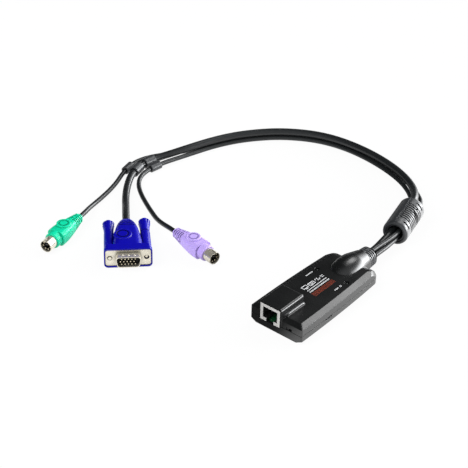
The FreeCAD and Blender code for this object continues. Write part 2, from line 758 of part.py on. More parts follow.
def video_hood():
    z = plug_middle
    rim = plate(rim_size[0], rim_size[1], rim_round, -rim_depth, rim_lip, z)
    seat_wide = flange_size[0] + 2 * fit_gap
    seat_high = flange_size[1] + 2 * fit_gap
    rim = rim.cut(plate(seat_wide, seat_high, flange_round, -flange_sheet, rim_lip + over, z))
    step = plate(step_size[0], step_size[1], step_round, -rim_depth - step_depth, -rim_depth, z)
    body = rim.fuse(step).fuse(lofted(hood_stations, hood_corner, z))
    for side in (-1, 1):
        foot = V(side * screw_spacing / 2, -rim_depth, z)
        tower = Part.makeCone(tower_radius, tower_end_radius, tower_end - rim_depth, foot, V(0, -1, 0))
        body = body.fuse(tower)
    disc_x, disc_y, disc_r = grip_disc
    disc_top = z + hood_stations[0][2] / 2 + grip_rise
    disc = rod(disc_r, (disc_x, disc_y, z), (0, 0, 1), disc_top - z)
    edge = [e for e in disc.Edges if e.BoundBox.ZMin > disc_top - 0.01]
    body = body.fuse(disc.makeFillet(grip_round, edge))
    ring = rod(grip_ring[0], (disc_x, disc_y, disc_top - grip_ring_depth), (0, 0, 1), far)
    body = body.cut(ring.cut(rod(grip_ring[1], (disc_x, disc_y, 0), (0, 0, 1), 2 * far)))
    core = lofted(hood_stations, hood_corner, z, hood_line_depth)
    for i in range(hood_lines):
        y = hood_line_last + i * hood_line_pitch
        body = body.cut(box(-far, far, y, y + hood_line_width, -far, far).cut(core))
    for side in (-1, 1):
        body = body.cut(rod(jackscrew_hole, (side * screw_spacing / 2, rim_lip + over, z), (0, -1, 0), far))
    wide, high = insulator_size
    depth = insulator_back + insulator_gap
    pocket = plate(wide + 2 * fit_gap, high + 2 * fit_gap, insulator_round, -flange_sheet - depth, 0, z)
    return one(body.cut(pocket))


def video_shell():
    """Pressed front: flange and D-shaped skirt with its dimples."""
    z = plug_middle
    flange = plate(flange_size[0], flange_size[1], flange_round, -flange_sheet, 0, z)
    skirt = d_block(d_width, d_height, -flange_sheet, d_reach, z)
    outside = z + d_height / 2
    for i in (-1, 0, 1):
        middle = V(i * d_dimple_pitch, d_reach * d_dimple_at, outside + d_dimple - d_dimple_radius)
        dimple = Part.makeSphere(d_dimple_radius, middle)
        skirt = skirt.fuse(dimple.common(box(-far, far, 0, far, outside - d_wall, far)))
    body = flange.fuse(skirt)
    inner = d_block(d_width - 2 * d_wall, d_height - 2 * d_wall, -flange_sheet - over, d_reach + over, z)
    body = body.cut(inner)
    for side in (-1, 1):
        body = body.cut(rod(jackscrew_hole, (side * screw_spacing / 2, over, z), (0, -1, 0), far))
    return one(body)


def video_insulator():
    z = plug_middle
    inside = 2 * (d_wall + insulator_gap)
    face = d_block(d_width - inside, d_height - inside, -flange_sheet, insulator_face, z)
    wide, high = insulator_size
    back = plate(wide, high, insulator_round, -flange_sheet - insulator_back, -flange_sheet, z)
    body = face.fuse(back)
    for x, dz in pin_places():
        body = body.cut(rod(pin_radius, (x, insulator_face - pin_root, z + dz), (0, 1, 0), pin_root + over))
    return one(body)


def pin_places():
    places = []
    for dz, shift in pin_rows:
        for i in range(pin_per_row):
            places.append(((i - (pin_per_row - 1) / 2) * pin_pitch + shift, dz))
    return places


def video_pins():
    start = insulator_face - pin_root
    length = pin_reach - start
    pins = [rod(pin_radius, (x, start, plug_middle + dz), (0, 1, 0), length) for x, dz in pin_places()]
    return Part.makeCompound(pins)


def thumbscrew(side, backed_off):
    """Steel jackscrew and its fluted plastic knob."""
    x = side * screw_spacing / 2
    z = plug_middle
    knob_front = -tower_end - backed_off
    knob_back = knob_front - knob_length
    waist_share, waist_radius = knob_waist
    edge_length, edge_depth = knob_edge
    waist = knob_front - waist_share * knob_length
    profile = [(knob_front, 0), (knob_front, knob_neck_radius), (waist, waist_radius),
               (knob_back + edge_length, knob_end_radius), (knob_back, knob_end_radius - edge_depth),
               (knob_back, 0)]
    knob = turned(profile, z)
    knob.translate(V(x, 0, 0))
    for i in range(knob_flutes):
        a = math.radians(i * 360 / knob_flutes)
        reach = knob_end_radius + knob_flute_radius * knob_flute_at
        flute_y = knob_front - knob_flute_start * knob_length
        flute_at = (x + reach * math.cos(a), flute_y, z + reach * math.sin(a))
        flute = rod(knob_flute_radius, flute_at, (0, -1, 0), far)
        knob = knob.cut(flute)
    root = knob_front - knob_socket * knob_length
    knob = knob.cut(rod(jackscrew_radius + jackscrew_grip, (x, root, z), (0, 1, 0), far))
    screw = rod(jackscrew_radius, (x, root, z), (0, 1, 0), jackscrew_tip - backed_off - root)
    tip = [e for e in screw.Edges if e.BoundBox.YMin > jackscrew_tip - backed_off - 0.01]
    return screw.makeChamfer(jackscrew_chamfer, tip), knob


# ---- Mini-DIN plug --------------------------------------------------------------
def din_hood_body():
    z = din_middle
    body = lofted(din_stations, din_corner, z)
    collar = rod(din_collar, (0, din_collar_start, z), (0, 1, 0), din_hood - din_collar_start)
    front = [e for e in collar.Edges if e.BoundBox.YMin > din_hood - 0.01]
    body = body.fuse(collar.makeFillet(din_collar_round, front))
    disc_y, disc_r = din_disc
    top = z + din_stations[2][2] / 2 + din_disc_rise
    disc = rod(disc_r, (0, disc_y, z), (0, 0, 1), top - z)
    rim = [e for e in disc.Edges if e.BoundBox.ZMin > top - 0.01]
    body = body.fuse(disc.makeFillet(din_disc_round, rim))
    ring = rod(din_ring[0], (0, disc_y, top - din_ring_depth), (0, 0, 1), far)
    body = body.cut(ring.cut(rod(din_ring[1], (0, disc_y, 0), (0, 0, 1), 2 * far)))
    core = lofted(din_stations, din_corner, z, din_groove_depth)
    for i in range(din_grooves):
        y = din_groove_start + i * din_groove_pitch
        cutter = box(-far, far, y, y + din_groove, -far, far).cut(core)
        if i % 2:
            bridge = box(-far, far, y, y + din_groove, z - din_bridge / 2, z + din_bridge / 2)
        else:
            bridge = box(-din_bridge / 2, din_bridge / 2, y, y + din_groove, -far, far)
        body = body.cut(cutter.cut(bridge))
    pocket = rod(din_root_radius, (0, din_hood - din_shell_root, z), (0, 1, 0), din_shell_root + over)
    return one(body.cut(pocket))


def din_shell_tube():
    z = din_middle
    start = din_hood - din_shell_root
    tube = rod(din_shell, (0, din_hood, z), (0, 1, 0), din_shell_reach)
    tube = tube.cut(rod(din_shell - din_shell_wall, (0, 0, z), (0, 1, 0), 2 * far))
    root = rod(din_root_radius, (0, start, z), (0, 1, 0), din_shell_root + din_shell_wall)
    tube = tube.fuse(root.cut(rod(din_root_radius - din_shell_wall, (0, 0, z), (0, 1, 0), far)))
    width, depth = din_dent
    floor = z + din_shell - depth
    y0 = din_hood + din_dent_start
    y1 = din_hood + din_shell_reach
    half = width / 2
    around = half + din_shell_wall
    pressed = box(-around, around, y0, y1, floor - din_shell_wall, z + din_shell)
    pressed = pressed.common(rod(din_shell, (0, y0, z), (0, 1, 0), y1 - y0))
    return one(tube.fuse(pressed).cut(box(-half, half, y0 + din_shell_wall, y1 + over, floor, far)))


def din_insert():
    z = din_middle
    start = din_hood - din_shell_root
    tip = din_hood + din_shell_reach - din_tip_depth
    wide, high = din_key
    body = rod(din_root_radius - din_shell_wall, (0, start, z), (0, 1, 0), din_shell_root + din_face)
    body = body.fuse(box(-wide / 2, wide / 2, start, tip, z + din_key_low, z + din_key_low + high))
    for x, dz in din_pins:
        body = body.cut(rod(din_pin_radius, (x, 0, z + dz), (0, 1, 0), 2 * far))
    return one(body)


def din_pins_group():
    start = din_hood - din_shell_root
    length = din_shell_root + din_shell_reach - din_tip_depth
    return Part.makeCompound([rod(din_pin_radius, (x, start, din_middle + dz), (0, 1, 0), length)
                              for x, dz in din_pins])


# ---- Leads ----------------------------------------------------------------------
def lead(name, route, diameter):
    """Round tube along straight runs joined by tangent arcs."""
    points = [V(*p) for p in route]
    runs = [(b - a).Length for a, b in zip(points, points[1:])]
    edges = []
    radii = []
    here = points[0]
    for i in range(1, len(points) - 1):
        back = (points[i - 1] - points[i]).normalize()
        ahead = (points[i + 1] - points[i]).normalize()
        half_turn = (math.pi - back.getAngle(ahead)) / 2
        reach = 0.45 * min(runs[i - 1], runs[i])
        radius = reach / math.tan(half_turn)
        start = points[i] + back * reach
        stop = points[i] + ahead * reach
        toward = (back + ahead).normalize()
        middle = points[i] + toward * (radius / math.cos(half_turn) - radius)
        edges.append(Part.LineSegment(here, start).toShape())
        edges.append(Part.Arc(start, middle, stop).toShape())
        radii.append(round(radius, 1))
        here = stop
    edges.append(Part.LineSegment(here, points[-1]).toShape())
    path = Part.Wire(edges)
    first = (points[1] - points[0]).normalize()
    ring = Part.Wire(Part.makeCircle(diameter / 2, points[0], first))
    tube = path.makePipeShell([ring], True, False)
    expected = math.pi * diameter ** 2 / 4 * path.Length
    print(name, "length", round(path.Length, 1), "radii", radii, "least", min(radii) / diameter,
          "volume ratio", round(tube.Volume / expected, 5), tube.isValid())
    return tube


def place_of(plug, y):
    """Point at distance y along a plug's axis."""
    x0, y0, heading = plug
    a = math.radians(heading)
    return (x0 + y * math.cos(a), y0 + y * math.sin(a))


video_route = [(-2.0, boot_end, 8.6), (-2.0, 58.6, 8.6), (-2.4, 68.0, 8.8), (-3.0, 80.8, 9.45),
               (-6.9, 98.4, 10.8), (-10.6, 116.0, 11.4), (-16.8, 130.4, 9.4), (-26.3, 141.7, 7.5),
               (-40.2, 151.3, 6.4), (-57.6, 158.1, 6.1), (-77.8, 162.0, 6.15), (-97.5, 162.7, 6.1),
               (-115.2, 160.5, 6.15), (-132.2, 154.3, 6.1), (-149.7, 142.4, 6.15), (-162.2, 129.0, 6.1),
               (-172.6, 113.7, 6.15), (-180.5, 96.2, 6.1), (-186.4, 77.5, 6.0), (-191.2, 64.4, 5.2),
               (-196.8, 52.6, 4.0), (-198.7, 37.2, 4.0), (-195.3, 23.0, 4.0), (-188.4, 11.2, 3.0),
               (-179.3, -0.4, 2.8), (-169.4, -10.8, 3.8), (-162.6, -17.8, 6.0)]
keyboard_route = [(2.3, boot_end, 5.7), (2.3, 58.6, 5.7), (2.2, 69.2, 6.4), (1.5, 82.1, 6.95),
                  (-4.6, 99.2, 5.96), (-11.1, 116.3, 6.0), (-18.6, 129.2, 3.9), (-27.9, 140.1, 2.3),
                  (-41.1, 149.4, 1.75), (-58.2, 155.7, 1.72), (-78.0, 159.6, 1.75), (-97.4, 160.8, 1.72),
                  (-114.7, 158.6, 1.75), (-131.3, 152.6, 1.72), (-148.5, 140.9, 1.75), (-160.7, 127.8, 1.72),
                  (-170.9, 112.8, 1.75), (-178.7, 95.5, 1.72), (-184.0, 76.6, 1.8), (-187.4, 62.4, 2.3),
                  (-189.6, 51.2, 3.0), (-191.45, 36.2, 3.0), (-189.9, 26.6, 2.4), (-184.4, 18.4, 1.8),
                  (-175.0, 10.8, 1.72), (-163.4, 3.8, 1.75), (-152.2, -2.2, 1.8), (-143.2, -7.0, 2.4),
                  (-134.8, -10.6, 4.1)]
mouse_route = [(3.3, boot_end, 9.3), (3.3, 58.6, 9.3), (3.1, 69.2, 10.2), (1.9, 81.9, 11.2),
               (-2.2, 99.6, 9.5), (-7.1, 117.3, 7.6), (-12.4, 133.0, 4.2), (-24.2, 144.3, 2.3),
               (-39.2, 153.1, 1.75), (-57.0, 160.0, 1.72), (-77.6, 163.9, 1.75), (-97.6, 164.6, 1.72),
               (-115.7, 162.4, 1.75), (-133.1, 156.1, 1.72), (-150.9, 143.9, 1.75), (-163.7, 130.2, 1.72),
               (-174.3, 114.6, 1.75), (-182.3, 96.9, 1.72), (-188.5, 79.4, 1.75), (-196.1, 65.8, 1.8),
               (-203.0, 54.0, 1.9), (-205.6, 45.2, 2.4), (-205.9, 35.6, 3.0), (-202.45, 21.5, 3.0),
               (-197.9, 10.2, 2.0), (-194.6, -0.6, 1.75), (-192.0, -11.6, 1.75), (-189.8, -21.8, 2.1),
               (-186.6, -30.6, 3.9)]


def main():
    os.makedirs("parts", exist_ok=True)
    top, bottom = shells()
    save("top_shell", top)
    save("bottom_shell", bottom)
    save("strain_relief", boot())
    shield, insert, contacts = jack()
    save("jack_shield", shield)
    save("jack_insert", insert)
    save("jack_contacts", contacts)
    save("circuit_board", circuit_board())
    save("processor", chip(*processor_size, processor_height, processor_at))
    save("memory_chip", chip(*memory_size, small_chip_height, memory_at))
    save("line_transceiver", chip(*transceiver_size, small_chip_height, transceiver_at))
    save("regulator", chip(*regulator_size, regulator_height, regulator_at))
    save("crystal", crystal())
    save("capacitors", capacitors())
    for name, x, y, width in header_places:
        save(name, header(x, y, width))
    save("board_screws", board_screws())
    for name, x, y in lamp_places:
        save(name, lamp(x, y))
    body, knob = slide_switch()
    save("switch_body", body)
    save("switch_knob", knob)
    for name, shape in ferrite().items():
        save(name, placed(shape, ferrite_center[0], ferrite_center[1], ferrite_heading))
    save("keyboard_clip", placed(clip(-1), *keyboard_clip))
    save("mouse_clip", placed(clip(1), *mouse_clip))
    save("video_hood", placed(video_hood(), *video_plug))
    save("video_shell", placed(video_shell(), *video_plug))
    save("video_insulator", placed(video_insulator(), *video_plug))
    save("video_pins", placed(video_pins(), *video_plug))
    for name, side in (("left", -1), ("right", 1)):
        screw, knob = thumbscrew(side, knob_backed_off[name])
        save("jackscrew_" + name, placed(screw, *video_plug))
        save("thumb_knob_" + name, placed(knob, *video_plug))
    for name, plug in (("mouse", mouse_plug), ("keyboard", keyboard_plug)):
        save(name + "_hood", placed(din_hood_body(), *plug))
        save(name + "_shell", placed(din_shell_tube(), *plug))
        save(name + "_insert", placed(din_insert(), *plug))
        save(name + "_pins", placed(din_pins_group(), *plug))
    entry = hood_stations[-1][0]
    leads = [("video_lead", video_route, video_lead, video_plug, entry, plug_middle),
             ("mouse_lead", mouse_route, thin_lead, mouse_plug, 0.0, din_middle),
             ("keyboard_lead", keyboard_route, thin_lead, keyboard_plug, 0.0, din_middle)]
    for name, route, diameter, plug, end, z in leads:
        tail = [place_of(plug, end - straight_entry) + (z,), place_of(plug, end) + (z,)]
        save(name, lead(name, route + tail, diameter))


main()
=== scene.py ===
import json
import math

import bmesh
import bpy
from mathutils import Matrix, Vector


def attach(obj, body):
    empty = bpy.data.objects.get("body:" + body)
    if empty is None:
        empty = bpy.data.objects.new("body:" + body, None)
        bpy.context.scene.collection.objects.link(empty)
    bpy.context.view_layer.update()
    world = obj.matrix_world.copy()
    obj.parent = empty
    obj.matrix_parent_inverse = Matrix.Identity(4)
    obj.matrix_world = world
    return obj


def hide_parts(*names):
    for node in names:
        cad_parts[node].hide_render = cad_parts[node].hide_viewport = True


# Dressing of the adapter: moulded shells, clamp-on ferrite, plugs and leads get their
# finishes, the leads become smooth cords, the boot gets its staggered ribs and the
# thumbscrews their threads, and the print on the top face is added. Everything lies in
# the frame of the solids. Shapes are written in millimetres and scaled by MM; the lamps,
# the table and the grain of the finishes are written in metres.

MM = 0.001
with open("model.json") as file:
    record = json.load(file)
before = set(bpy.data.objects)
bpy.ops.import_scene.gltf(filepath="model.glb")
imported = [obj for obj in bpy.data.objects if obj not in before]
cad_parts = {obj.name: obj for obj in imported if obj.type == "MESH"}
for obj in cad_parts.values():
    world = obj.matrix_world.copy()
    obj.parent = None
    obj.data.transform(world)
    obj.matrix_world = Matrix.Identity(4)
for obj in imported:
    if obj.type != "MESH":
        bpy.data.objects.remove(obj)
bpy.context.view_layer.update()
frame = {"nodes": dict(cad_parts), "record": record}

# ---- Sizes shared with the solids, in millimetres -------------------------------
CASE_TOP = 12.8
BOOT_END = 51.2
VIDEO_LEAD = 5.4
THIN_LEAD = 3.4
VIDEO_PLUG = (-120.1, -60.5, 7.7)
VIDEO_HEADING = -44.9
SCREW_SPACING = 25.0
SCREW_RADIUS = 1.42
SCREW_TIPS = {"left": -0.7, "right": 0.65}       # tip of each screw beyond the flange's face
SCREW_ROOTS = {"left": -37.3, "right": -35.95}


# ---- Objects and meshes ---------------------------------------------------------
def add_object(name, data):
    """New object in the scene, at the origin."""
    item = bpy.data.objects.new(name, data)
    bpy.context.scene.collection.objects.link(item)
    return item


def join_rings(build, rings):
    """Skin over rings of points that follow one another, closed at both ends."""
    around = len(rings[0])
    for lower, upper in zip(rings, rings[1:]):
        for k in range(around):
            j = (k + 1) % around
            build.faces.new((lower[k], lower[j], upper[j], upper[k]))
    build.faces.new(list(reversed(rings[0])))
    build.faces.new(rings[-1])


def finished_mesh(name, build, finish):
    """Mesh of the built faces, all turned outwards, in one finish."""
    mesh = bpy.data.meshes.new(name)
    bmesh.ops.recalc_face_normals(build, faces=build.faces)
    build.to_mesh(mesh)
    build.free()
    mesh.materials.append(finish)
    return mesh


# ---- Camera ---------------------------------------------------------------------
def make_camera():
    """Long lens from the front right, above the table."""
    data = bpy.data.cameras.new("camera")
    data.lens = 120
    data.sensor_width = 36
    data.clip_start = 0.05
    data.clip_end = 20
    camera = add_object("camera", data)
    place = Vector((480.58, -683.38, 613.37)) * MM
    right = Vector((0.76576, 0.64280, 0.01956))
    up = Vector((-0.37321, 0.41937, 0.82758))
    back = Vector((0.52376, -0.64104, 0.56103))
    turn = Matrix((right, up, back)).transposed().to_4x4()
    camera.matrix_world = Matrix.Translation(place) @ turn
    bpy.context.scene.camera = camera


# ---- Node trees -----------------------------------------------------------------
class Graph:
    """A node tree with short calls for adding nodes and joining them."""

    def __init__(self, tree):
        self.tree = tree

    def add(self, kind, inputs=None, **settings):
        node = self.tree.nodes.new(kind)
        for name, value in settings.items():
            setattr(node, name, value)
        for name, value in (inputs or {}).items():
            self.feed(node.inputs[name], value)
        return node

    def feed(self, socket, value):
        if isinstance(value, bpy.types.NodeSocket):
            self.tree.links.new(value, socket)
        elif socket.type == "RGBA":
            socket.default_value = (*value, 1)
        else:
            socket.default_value = value

    def math(self, operation, a, b=0.0, clamp=False):
        node = self.add("ShaderNodeMath", {0: a, 1: b}, operation=operation)
        node.use_clamp = clamp
        return node.outputs[0]

    def remap(self, value, low, high, to_low=0.0, to_high=1.0, smooth=False):
        node = self.add("ShaderNodeMapRange", {"Value": value, "From Min": low, "From Max": high,
                                               "To Min": to_low, "To Max": to_high})
        if smooth:
            node.interpolation_type = "SMOOTHSTEP"
        return node.outputs["Result"]

    def blend(self, mask, first, second):
        node = self.add("ShaderNodeMix", data_type="RGBA")
        self.feed(node.inputs[0], mask)
        self.feed(node.inputs[6], first)
        self.feed(node.inputs[7], second)
        return node.outputs[2]

    def noise(self, place, scale, detail=2.0, roughness=0.5):
        node = self.add("ShaderNodeTexNoise", {"Vector": place, "Scale": scale, "Detail": detail,
                                               "Roughness": roughness})
        return node.outputs["Fac"]


def new_group(name, inputs, outputs):
    """Empty shader node group with named sockets, and the graph that fills it."""
    group = bpy.data.node_groups.new(name, "ShaderNodeTree")
    for label, kind, value in inputs:
        socket = group.interface.new_socket(label, in_out="INPUT", socket_type=kind)
        if value is not None:
            socket.default_value = value
    for label, kind in outputs:
        group.interface.new_socket(label, in_out="OUTPUT", socket_type=kind)
    graph = Graph(group)
    entry = graph.add("NodeGroupInput").outputs
    leave = graph.add("NodeGroupOutput").inputs
    return group, graph, entry, leave


def make_tone_drift():
    """A colour that wanders a little lighter and darker over the surface."""
    group, graph, entry, leave = new_group(
        "Tone drift",
        [("Place", "NodeSocketVector", None), ("Color", "NodeSocketColor", (0.5, 0.5, 0.5, 1)),
         ("Scale", "NodeSocketFloat", 60.0), ("Amount", "NodeSocketFloat", 0.1)],
        [("Color", "NodeSocketColor")])
    patches = graph.noise(entry["Place"], entry["Scale"], 3.0, 0.55)
    span = graph.math("MULTIPLY", entry["Amount"], 4.0)
    swing = graph.math("MULTIPLY", graph.math("SUBTRACT", patches, 0.5), span)
    level = graph.math("ADD", swing, 1.0)
    scaled = graph.add("ShaderNodeVectorMath", {0: entry["Color"], "Scale": level}, operation="SCALE")
    graph.feed(leave["Color"], scaled.outputs[0])
    return group


def make_mould_skin():
    """Spark-eroded skin of a moulding: a fine grain, and a gloss that varies in soft patches."""
    group, graph, entry, leave = new_group(
        "Mould skin",
        [("Place", "NodeSocketVector", None), ("Grain", "NodeSocketFloat", 5000.0),
         ("Gloss Scale", "NodeSocketFloat", 90.0), ("Roughness", "NodeSocketFloat", 0.35),
         ("Spread", "NodeSocketFloat", 0.05)],
        [("Height", "NodeSocketFloat"), ("Roughness", "NodeSocketFloat")])
    fine = graph.noise(entry["Place"], entry["Grain"], 2.0, 0.6)
    pores = graph.noise(entry["Place"], graph.math("MULTIPLY", entry["Grain"], 0.37), 1.0)
    height = graph.math("ADD", graph.math("MULTIPLY", fine, 0.6), graph.math("MULTIPLY", pores, 0.4))
    graph.feed(leave["Height"], height)
    patches = graph.noise(entry["Place"], entry["Gloss Scale"], 4.0, 0.6)
    low = graph.math("SUBTRACT", entry["Roughness"], entry["Spread"])
    high = graph.math("ADD", entry["Roughness"], entry["Spread"])
    graph.feed(leave["Roughness"], graph.remap(patches, 0.3, 0.7, low, high))
    return group


def make_edge_wear():
    """Mask of handled edges: where a rounded copy of the surface leans away from it."""
    group, graph, entry, leave = new_group(
        "Edge wear",
        [("Place", "NodeSocketVector", None), ("Radius", "NodeSocketFloat", 0.0004),
         ("Scale", "NodeSocketFloat", 900.0)],
        [("Mask", "NodeSocketFloat"), ("Normal", "NodeSocketVector")])
    rounded = graph.add("ShaderNodeBevel", {"Radius": entry["Radius"]}, samples=4)
    flat = graph.add("ShaderNodeNewGeometry")
    lean = graph.add("ShaderNodeVectorMath", {0: rounded.outputs["Normal"], 1: flat.outputs["Normal"]},
                     operation="DOT_PRODUCT")
    edge = graph.remap(lean.outputs["Value"], 0.99, 0.80)
    rubbed = graph.remap(graph.noise(entry["Place"], entry["Scale"], 3.0, 0.65), 0.42, 0.62)
    graph.feed(leave["Mask"], graph.math("MULTIPLY", edge, rubbed, clamp=True))
    graph.feed(leave["Normal"], rounded.outputs["Normal"])
    return group


def make_settled_dust():
    """Mask of the specks and the thin film that settle on faces turned upwards."""
    group, graph, entry, leave = new_group(
        "Settled dust",
        [("Place", "NodeSocketVector", None), ("Specks", "NodeSocketFloat", 1500.0)],
        [("Mask", "NodeSocketFloat")])
    face = graph.add("ShaderNodeNewGeometry")
    parts = graph.add("ShaderNodeSeparateXYZ", {0: face.outputs["Normal"]})
    upward = graph.remap(parts.outputs["Z"], 0.4, 1.0)
    film = graph.remap(graph.noise(entry["Place"], 70.0, 4.0, 0.6), 0.35, 0.75, 0.05, 0.3)
    specks = graph.remap(graph.noise(entry["Place"], entry["Specks"], 1.0), 0.72, 0.78, 0.0, 0.7)
    graph.feed(leave["Mask"], graph.math("MULTIPLY", upward, graph.math("ADD", film, specks), clamp=True))
    return group


def make_plate_finish():
    """Plated sheet metal: drawing lines along one direction, and faint handling smudges."""
    group, graph, entry, leave = new_group(
        "Plate finish",
        [("Place", "NodeSocketVector", None), ("Stretch", "NodeSocketVector", (1.0, 1.0, 12.0)),
         ("Lines", "NodeSocketFloat", 500.0), ("Roughness", "NodeSocketFloat", 0.25),
         ("Spread", "NodeSocketFloat", 0.08)],
        [("Height", "NodeSocketFloat"), ("Roughness", "NodeSocketFloat"), ("Smudge", "NodeSocketFloat")])
    drawn = graph.add("ShaderNodeVectorMath", {0: entry["Place"], 1: entry["Stretch"]}, operation="MULTIPLY")
    lines = graph.noise(drawn.outputs[0], entry["Lines"], 3.0, 0.7)
    smudge = graph.noise(entry["Place"], 260.0, 3.0, 0.55)
    graph.feed(leave["Height"], lines)
    graph.feed(leave["Smudge"], graph.remap(smudge, 0.45, 0.7))
    low = graph.math("SUBTRACT", entry["Roughness"], entry["Spread"])
    high = graph.math("ADD", entry["Roughness"], entry["Spread"])
    both = graph.math("ADD", graph.math("MULTIPLY", lines, 0.5), graph.math("MULTIPLY", smudge, 0.5))
    graph.feed(leave["Roughness"], graph.remap(both, 0.35, 0.65, low, high))
    return group


def make_deep_recess():
    """Mask of places that little light reaches, such as grooves and the inside of a shell."""
    group, graph, entry, leave = new_group(
        "Deep recess",
        [("Place", "NodeSocketVector", None), ("Reach", "NodeSocketFloat", 0.002)],
        [("Mask", "NodeSocketFloat")])
    open_sky = graph.add("ShaderNodeAmbientOcclusion", {"Distance": entry["Reach"]}, samples=6)
    uneven = graph.noise(entry["Place"], 400.0, 2.0)
    shade = graph.math("ADD", open_sky.outputs["AO"], graph.remap(uneven, 0.3, 0.7, -0.06, 0.06))
    graph.feed(leave["Mask"], graph.remap(shade, 0.85, 0.25))
    return group


TONE_DRIFT = make_tone_drift()
MOULD_SKIN = make_mould_skin()
EDGE_WEAR = make_edge_wear()
SETTLED_DUST = make_settled_dust()
PLATE_FINISH = make_plate_finish()
DEEP_RECESS = make_deep_recess()


class Finish(Graph):
    """A material being made: its Principled shader and the point on the piece."""

    def __init__(self, name):
        self.material = bpy.data.materials.new(name)
        self.material.use_nodes = True
        super().__init__(self.material.node_tree)
        self.shader = self.material.node_tree.nodes["Principled BSDF"]
        self.place = self.add("ShaderNodeTexCoord").outputs["Object"]

    def group(self, group, **inputs):
        node = self.add("ShaderNodeGroup", node_tree=group)
        self.feed(node.inputs["Place"], self.place)
        for name, value in inputs.items():
            self.feed(node.inputs[name.replace("_", " ").title()], value)
        return node.outputs

    def set(self, **inputs):
        for name, value in inputs.items():
            self.feed(self.shader.inputs[name.replace("_", " ").title().replace("Ior", "IOR")], value)

    def bump(self, height, depth, normal=None):
        node = self.add("ShaderNodeBump", {"Height": height, "Distance": depth, "Strength": 1.0})
        if normal is not None:
            self.feed(node.inputs["Normal"], normal)
        return node.outputs["Normal"]


# ---- Finishes -------------------------------------------------------------------
def moulded(name, color, roughness, grain=5000.0, depth=0.000012, drift=0.06, round_edge=0.00035,
            worn=None, dust=0.35, specular=0.5, spread=0.05, gloss_scale=90.0, subsurface=0.0,
            wear=0.3, recess=0.5, reach=0.002):
    """Moulded plastic: skin, drifting tone, rounded and rubbed edges, painted shade that darkens grooves and
    recesses, which are also made matt, some dust.
    """
    finish = Finish(name)
    tone = finish.group(TONE_DRIFT, color=color, amount=drift)["Color"]
    skin = finish.group(MOULD_SKIN, grain=grain, roughness=roughness, spread=spread, gloss_scale=gloss_scale)
    edge = finish.group(EDGE_WEAR, radius=round_edge)
    dusty = finish.group(SETTLED_DUST)["Mask"]
    worn = worn or tuple(min(1.0, c * 1.5 + 0.02) for c in color)
    rubbed = finish.blend(finish.math("MULTIPLY", edge["Mask"], wear), tone, worn)
    # Painted shade: the ambient-occlusion mask darkens the base colour in grooves and recesses, by the share
    # recess; the same mask makes them matt.
    painted_shade_mask = finish.math("MULTIPLY", finish.group(DEEP_RECESS, reach=reach)["Mask"], recess)
    with_painted_shade = finish.blend(painted_shade_mask, rubbed, tuple(0.12 * c for c in color))
    grey = tuple(0.5 * c + 0.12 for c in color)
    coated = finish.blend(finish.math("MULTIPLY", dusty, 0.12 * dust), with_painted_shade, grey)
    matt = finish.math("ADD", skin["Roughness"], finish.math("MULTIPLY", dusty, 0.25 * dust))
    finish.set(base_color=coated, roughness=finish.math("MAXIMUM", matt, painted_shade_mask),
               specular_ior_level=specular, normal=finish.bump(skin["Height"], depth, edge["Normal"]))
    if subsurface:
        finish.set(subsurface_weight=subsurface, subsurface_radius=(1.0, 1.0, 1.0), subsurface_scale=0.0006)
    return finish.material


def plated(name, color, roughness, stretch=(1.0, 1.0, 12.0), lines=500.0, metallic=1.0, spread=0.06,
           depth=0.000004, tarnish=None, round_edge=0.00015, recess=0.85, reach=0.003):
    """Plated or stamped metal with drawing lines, smudges, softened edges and painted shade darkening its
    recesses.
    """
    finish = Finish(name)
    plate = finish.group(PLATE_FINISH, stretch=stretch, lines=lines, roughness=roughness, spread=spread)
    edge = finish.group(EDGE_WEAR, radius=round_edge)
    tone = finish.group(TONE_DRIFT, color=color, amount=0.03, scale=180.0)["Color"]
    tarnish = tarnish or tuple(0.82 * c for c in color)
    stained = finish.blend(finish.math("MULTIPLY", plate["Smudge"], 0.35), tone, tarnish)
    # Painted shade: the ambient-occlusion mask darkens the base colour inside shells and recesses, by the
    # share recess.
    painted_shade_mask = finish.math("MULTIPLY", finish.group(DEEP_RECESS, reach=reach)["Mask"], recess)
    with_painted_shade = finish.blend(painted_shade_mask, stained, tuple(0.04 * c for c in color))
    finish.set(base_color=with_painted_shade, metallic=metallic, roughness=plate["Roughness"],
               normal=finish.bump(plate["Height"], depth, edge["Normal"]))
    return finish.material


def jacket_finish():
    """Extruded PVC jacket: satin, with a fine orange-peel and scuffs from handling."""
    finish = Finish("jacket")
    tone = finish.group(TONE_DRIFT, color=(0.011, 0.0125, 0.0135), amount=0.09, scale=45.0)["Color"]
    skin = finish.group(MOULD_SKIN, grain=1500.0, roughness=0.32, spread=0.04, gloss_scale=120.0)
    dusty = finish.group(SETTLED_DUST, specks=900.0)["Mask"]
    scuff = finish.remap(finish.noise(finish.place, 380.0, 5.0, 0.7), 0.62, 0.72, 0.0, 0.12)
    scuffed = finish.blend(scuff, tone, (0.075, 0.078, 0.08))
    finish.set(base_color=finish.blend(finish.math("MULTIPLY", dusty, 0.05), scuffed, (0.2, 0.2, 0.2)),
               roughness=finish.math("ADD", skin["Roughness"], finish.math("MULTIPLY", scuff, 0.4)),
               normal=finish.bump(skin["Height"], 0.000006), specular_ior_level=0.5)
    return finish.material


